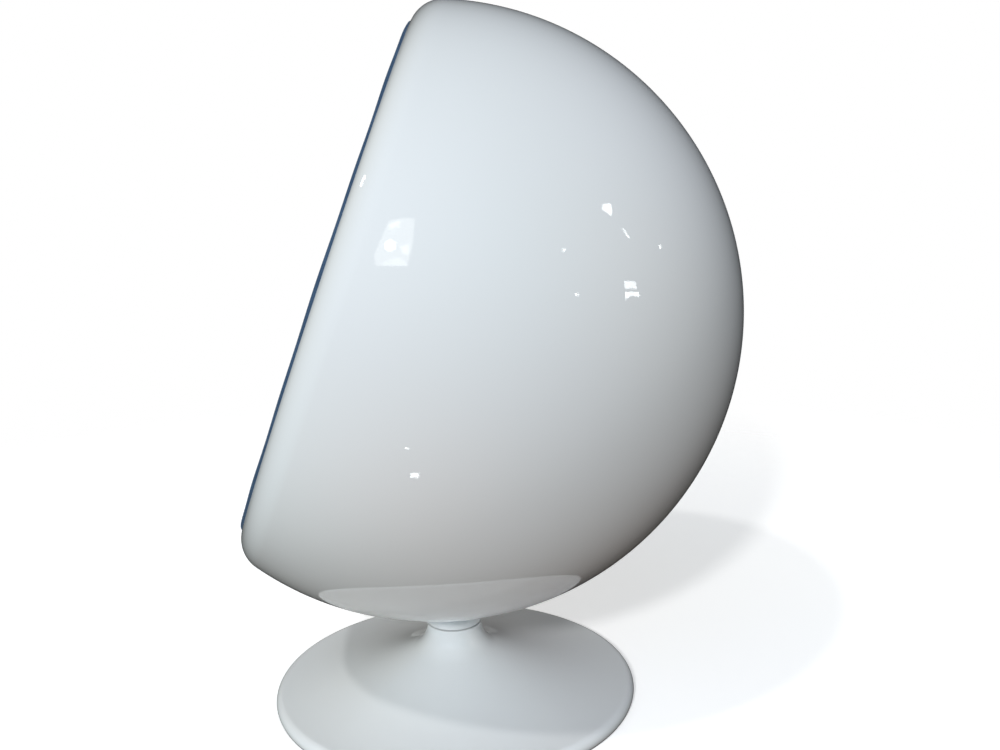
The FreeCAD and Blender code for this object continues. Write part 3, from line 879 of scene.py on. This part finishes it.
def cushion_outline(radius, flat, corner, count):
    """Round outline with one straight side towards -Y, as evenly spaced points."""
    flat = min(flat, CUSHION_FLAT_SHARE * radius)
    corner = min(corner, CUSHION_CORNER_SHARE * radius)
    corner_y = corner - flat
    corner_x = math.sqrt((radius - corner) ** 2 - corner_y ** 2)
    start = math.degrees(math.atan2(corner_y, corner_x))
    right = arc_points((0, 0), radius, 90, start, 400)
    bend = arc_points((corner_x, corner_y), corner, start, -90, 120)
    half = np.array(joined_profile(right, bend))
    whole = np.vstack([half, np.column_stack([-half[::-1, 0], half[::-1, 1]])])
    lengths = np.concatenate([[0], np.cumsum(np.linalg.norm(np.diff(whole, axis=0), axis=1))])
    places = np.linspace(0, lengths[-1], count, endpoint=False)
    return np.column_stack([np.interp(places, lengths, whole[:, k]) for k in (0, 1)])


def cushion_rise(rise, thickness, crown, draw, reach):
    """Inset of the form's outline at a height above its underside."""
    side = thickness - crown
    low = CUSHION_SIDE_TOP * side
    if rise > low:
        return reach * (1 - math.cos(math.asin(min(1, (rise - low) / (thickness - low)))))
    knots = [0, 0.15 * side, 0.45 * side, low]
    return float(np.interp(rise, knots, [draw, 0.25 * draw, 0, 0]))


def seat_ring(rise):
    """Ring of points on the seat cushion's form, at a height above its underside."""
    tilt = math.radians(OPENING_TILT)
    front = LIP_AXIAL + LIP_RADIUS - (SHELL_RADIUS - ROOM_RADIUS)
    inset = cushion_rise(rise, SEAT_THICKNESS, SEAT_CROWN, SEAT_EDGE_DRAW, SEAT_DOME_REACH)
    height = SEAT_BOTTOM + rise
    below = POD_CENTRE.z - height
    flat = (below * math.sin(tilt) + front) / math.cos(tilt)
    radius = math.sqrt(ROOM_RADIUS ** 2 - below ** 2)
    outline = cushion_outline(radius - inset, flat - inset, SEAT_CORNER, RING_POINTS)
    return [Vector((x, y + POD_CENTRE.y, height)) for x, y in outline]


def back_ring(rise):
    """Ring of points on the back cushion's form, at a distance from its rear."""
    lean = math.radians(BACK_RECLINE)
    inset = cushion_rise(rise, BACK_THICKNESS, BACK_CROWN, BACK_EDGE_DRAW, BACK_DOME_REACH)
    depth = ROOM_RADIUS - BACK_ROUND_BACK - rise
    seat_top = SEAT_BOTTOM + SEAT_THICKNESS
    below = POD_CENTRE.z - seat_top + BACK_DROP - depth * math.sin(lean)
    radius = math.sqrt(ROOM_RADIUS ** 2 - depth ** 2)
    flat = below / math.cos(lean)
    outline = cushion_outline(radius - inset, flat - inset, BACK_CORNER, RING_POINTS)
    tip = Matrix.Rotation(math.radians(-90 - BACK_RECLINE), 4, "X")
    turn = tip @ Matrix.Rotation(math.pi, 4, "Z")
    return [POD_CENTRE + (turn @ Vector((x, y, depth))) for x, y in outline]


def into_room(piece, floor, over):
    """Press a cushion against what it lies in: the lining, the deck and the other cushion."""
    room = ROOM_RADIUS - ROOM_GAP
    for vertex in piece.data.vertices:
        away = vertex.co - POD_CENTRE
        if away.length > room:
            vertex.co = POD_CENTRE + away * (room / away.length)
        if floor is not None and vertex.co.z < floor:
            vertex.co.z = floor
        if over is not None:
            hit = over.ray_cast(Vector((vertex.co.x, vertex.co.y, OVERHEAD)), DOWN)[0]
            if hit is not None and vertex.co.z < hit.z + CUSHION_GAP:
                vertex.co.z = hit.z + CUSHION_GAP
    piece.data.update()


def surface_tree(piece):
    """Search tree of a piece's faces."""
    work = bmesh.new()
    work.from_mesh(piece.data)
    tree = BVHTree.FromBMesh(work)
    work.free()
    return tree


def welt_on(name, piece, ring):
    """Piping sewn along a seam, drawn onto the cushion's surface."""
    tree = surface_tree(piece)
    path = []
    for point in ring:
        place, normal = tree.find_nearest(point)[:2]
        path.append(place + normal * WELT_RADIUS * WELT_LIFT)
    count, even = len(path), []
    for i, middle in enumerate(path):
        near = path[i - 1] * 2 + middle * 3 + path[(i + 1) % count] * 2
        even.append((path[i - 2] + near + path[(i + 2) % count]) / 9)
    welt = tube(name, even, WELT_RADIUS, WELT_SIDES)
    return dress(welt, "piping_blue", "pod")


def make_cushions():
    """Seat cushion, then the back cushion over it, each with a welt along both seams."""
    seams = [seat_ring(rise) for rise in SEAT_SEAMS]
    seat = make_cushion("seat_pad", "seat_cushion", seams, floor=SEAT_BOTTOM)
    welt_on("seat_welt_top", seat, seams[1])
    welt_on("seat_welt_low", seat, seams[0])
    seams = [back_ring(rise) for rise in BACK_SEAMS]
    back = make_cushion("back_pad", "back_cushion", seams, over=surface_tree(seat))
    welt_on("back_welt_front", back, seams[1])
    welt_on("back_welt_rear", back, seams[0])


# Camera, light and floor


def camera_axes():
    """Right, up and forward of the camera that took the photograph."""
    yaw, pitch, roll = (math.radians(a) for a in (CAMERA_YAW, CAMERA_PITCH, CAMERA_ROLL))
    ahead = Vector((-math.cos(yaw), -math.sin(yaw), 0))
    up = Vector((0, 0, 1))
    right = ahead.cross(up)
    forward = ahead * math.cos(pitch) - up * math.sin(pitch)
    raised = up * math.cos(pitch) + ahead * math.sin(pitch)
    rolled_right = right * math.cos(roll) + raised * math.sin(roll)
    rolled_up = raised * math.cos(roll) - right * math.sin(roll)
    return rolled_right, rolled_up, forward


def make_camera():
    """Camera at the photograph's place and angle."""
    right, up, forward = camera_axes()
    data = bpy.data.cameras.new("camera")
    data.sensor_width = SENSOR_WIDTH
    data.lens = CAMERA_FOCAL_PIXELS / PHOTO_WIDTH * SENSOR_WIDTH
    data.clip_end = 100
    camera = bpy.data.objects.new("camera", data)
    axes = Matrix((right, up, -forward)).transposed()
    camera.matrix_world = Matrix.Translation(CAMERA_PLACE) @ axes.to_4x4()
    bpy.context.scene.collection.objects.link(camera)
    bpy.context.scene.camera = camera


def make_suns():
    """Soft suns that shade the chair and that no gloss shows."""
    for name, (direction, strength, width) in SUNS.items():
        data = bpy.data.lights.new(name, "SUN")
        data.energy = strength
        data.angle = math.radians(width)
        sun = bpy.data.objects.new(name, data)
        sun.rotation_euler = Vector(direction).to_track_quat("Z", "Y").to_euler()
        sun.visible_glossy = False
        bpy.context.scene.collection.objects.link(sun)


def mirrored(across, down, shell_tree, reach):
    """Place that shows in the pod's gloss at a pixel of the photograph."""
    right, up, forward = camera_axes()
    ray = forward + right * ((across - PHOTO_WIDTH / 2) / CAMERA_FOCAL_PIXELS)
    ray = (ray + up * ((PHOTO_HEIGHT / 2 - down) / CAMERA_FOCAL_PIXELS)).normalized()
    hit = shell_tree.ray_cast(CAMERA_PLACE, ray)[0]
    normal = POD_MATRIX.inverted() @ hit
    out = math.hypot(normal.x, normal.y)
    if math.atan2(normal.z, out) > math.radians(LIP_START):
        normal -= Vector((normal.x / out * LIP_RING, normal.y / out * LIP_RING, LIP_AXIAL))
    normal = (POD_MATRIX.to_3x3() @ normal).normalized()
    return hit + ray.reflect(normal) * reach


def make_cards(shell):
    """Bright panes round the studio, which only the gloss shows, each nearer than the last."""
    shell_tree = surface_tree(shell)
    reach = CARD_REACH
    for name, (brightness, corners) in CARDS.items():
        reach -= CARD_STEP
        places = [mirrored(across, down, shell_tree, reach) for across, down in corners]
        card = new_object(f"card_{name}", places, [range(len(corners))], smooth=False)
        material = bpy.data.materials.new(f"card_{name}")
        material.use_nodes = True
        shader = material.node_tree.nodes["Principled BSDF"]
        shader.inputs["Base Color"].default_value = (0, 0, 0, 1)
        shader.inputs["Specular IOR Level"].default_value = 0
        shader.inputs["Emission Color"].default_value = CARD_COLOUR
        shader.inputs["Emission Strength"].default_value = brightness
        card.data.materials.append(material)
        card.visible_camera = False
        card.visible_diffuse = False
        card.visible_shadow = False


def make_floor():
    """Pale floor that fades into the white studio far from the chair."""
    floor = revolved("floor", [(0, 0), (FLOOR_RADIUS / 3, 0), (FLOOR_RADIUS, 0)], 64, closed=False)
    material = bpy.data.materials.new("floor_pale")
    material.use_nodes = True
    nodes, links = material.node_tree.nodes, material.node_tree.links
    shader = nodes["Principled BSDF"]
    shader.inputs["Base Color"].default_value = (*FLOOR_COLOUR, 1)
    shader.inputs["Roughness"].default_value = 0.85
    shader.inputs["Specular IOR Level"].default_value = 0.2
    shader.inputs["Emission Color"].default_value = (1, 1, 1, 1)
    shader.inputs["Emission Strength"].default_value = FLOOR_LIFT
    place = nodes.new("ShaderNodeTexCoord")
    away = nodes.new("ShaderNodeVectorMath")
    away.operation = "LENGTH"
    links.new(place.outputs["Object"], away.inputs[0])
    fade = nodes.new("ShaderNodeMapRange")
    fade.interpolation_type = "SMOOTHSTEP"
    ends = {"From Min": FLOOR_FADE[0], "From Max": FLOOR_FADE[1], "To Min": 1.0, "To Max": 0.0}
    for key, value in ends.items():
        fade.inputs[key].default_value = value
    links.new(away.outputs["Value"], fade.inputs["Value"])
    links.new(fade.outputs["Result"], shader.inputs["Alpha"])
    floor.data.materials.append(material)
    floor.visible_diffuse = False
    floor.visible_glossy = False


def make_world():
    """White studio to the camera, and soft lobes of light from around the chair to the rest."""
    world = bpy.data.worlds.new("studio")
    bpy.context.scene.world = world
    world.use_nodes = True
    nodes, links = world.node_tree.nodes, world.node_tree.links
    ray = nodes.new("ShaderNodeTexCoord").outputs["Generated"]
    total = None
    for name, (direction, sharpness, colour) in LOBES.items():
        dot = nodes.new("ShaderNodeVectorMath")
        dot.operation = "DOT_PRODUCT"
        dot.inputs[1].default_value = Vector(direction).normalized()
        links.new(ray, dot.inputs[0])
        clip = nodes.new("ShaderNodeMath")
        clip.operation = "MAXIMUM"
        clip.inputs[1].default_value = 0
        links.new(dot.outputs["Value"], clip.inputs[0])
        power = nodes.new("ShaderNodeMath")
        power.operation = "POWER"
        power.inputs[1].default_value = sharpness
        links.new(clip.outputs["Value"], power.inputs[0])
        lobe = nodes.new("ShaderNodeVectorMath")
        lobe.operation = "SCALE"
        lobe.name = name
        lobe.inputs[0].default_value = colour
        links.new(power.outputs["Value"], lobe.inputs["Scale"])
        if total is None:
            total = lobe.outputs["Vector"]
            continue
        both = nodes.new("ShaderNodeVectorMath")
        links.new(total, both.inputs[0])
        links.new(lobe.outputs["Vector"], both.inputs[1])
        total = both.outputs["Vector"]
    path = nodes.new("ShaderNodeLightPath")
    seen = nodes.new("ShaderNodeMix")
    seen.data_type = "RGBA"
    seen.inputs["B"].default_value = (1, 1, 1, 1)
    links.new(path.outputs["Is Camera Ray"], seen.inputs["Factor"])
    links.new(total, seen.inputs["A"])
    links.new(seen.outputs["Result"], nodes["Background"].inputs["Color"])
    nodes["Background"].inputs["Strength"].default_value = 1.0


materials = make_materials()
dress_frame()
make_camera()
make_world()
make_suns()
make_floor()
make_cards(make_shell())
make_rim_piping()
make_base_cover()
for gore in range(LINING_PANELS):
    make_lining_gore(gore)
make_lining_centre()
make_cushions()
bpy.context.scene.view_settings.view_transform = "Standard"
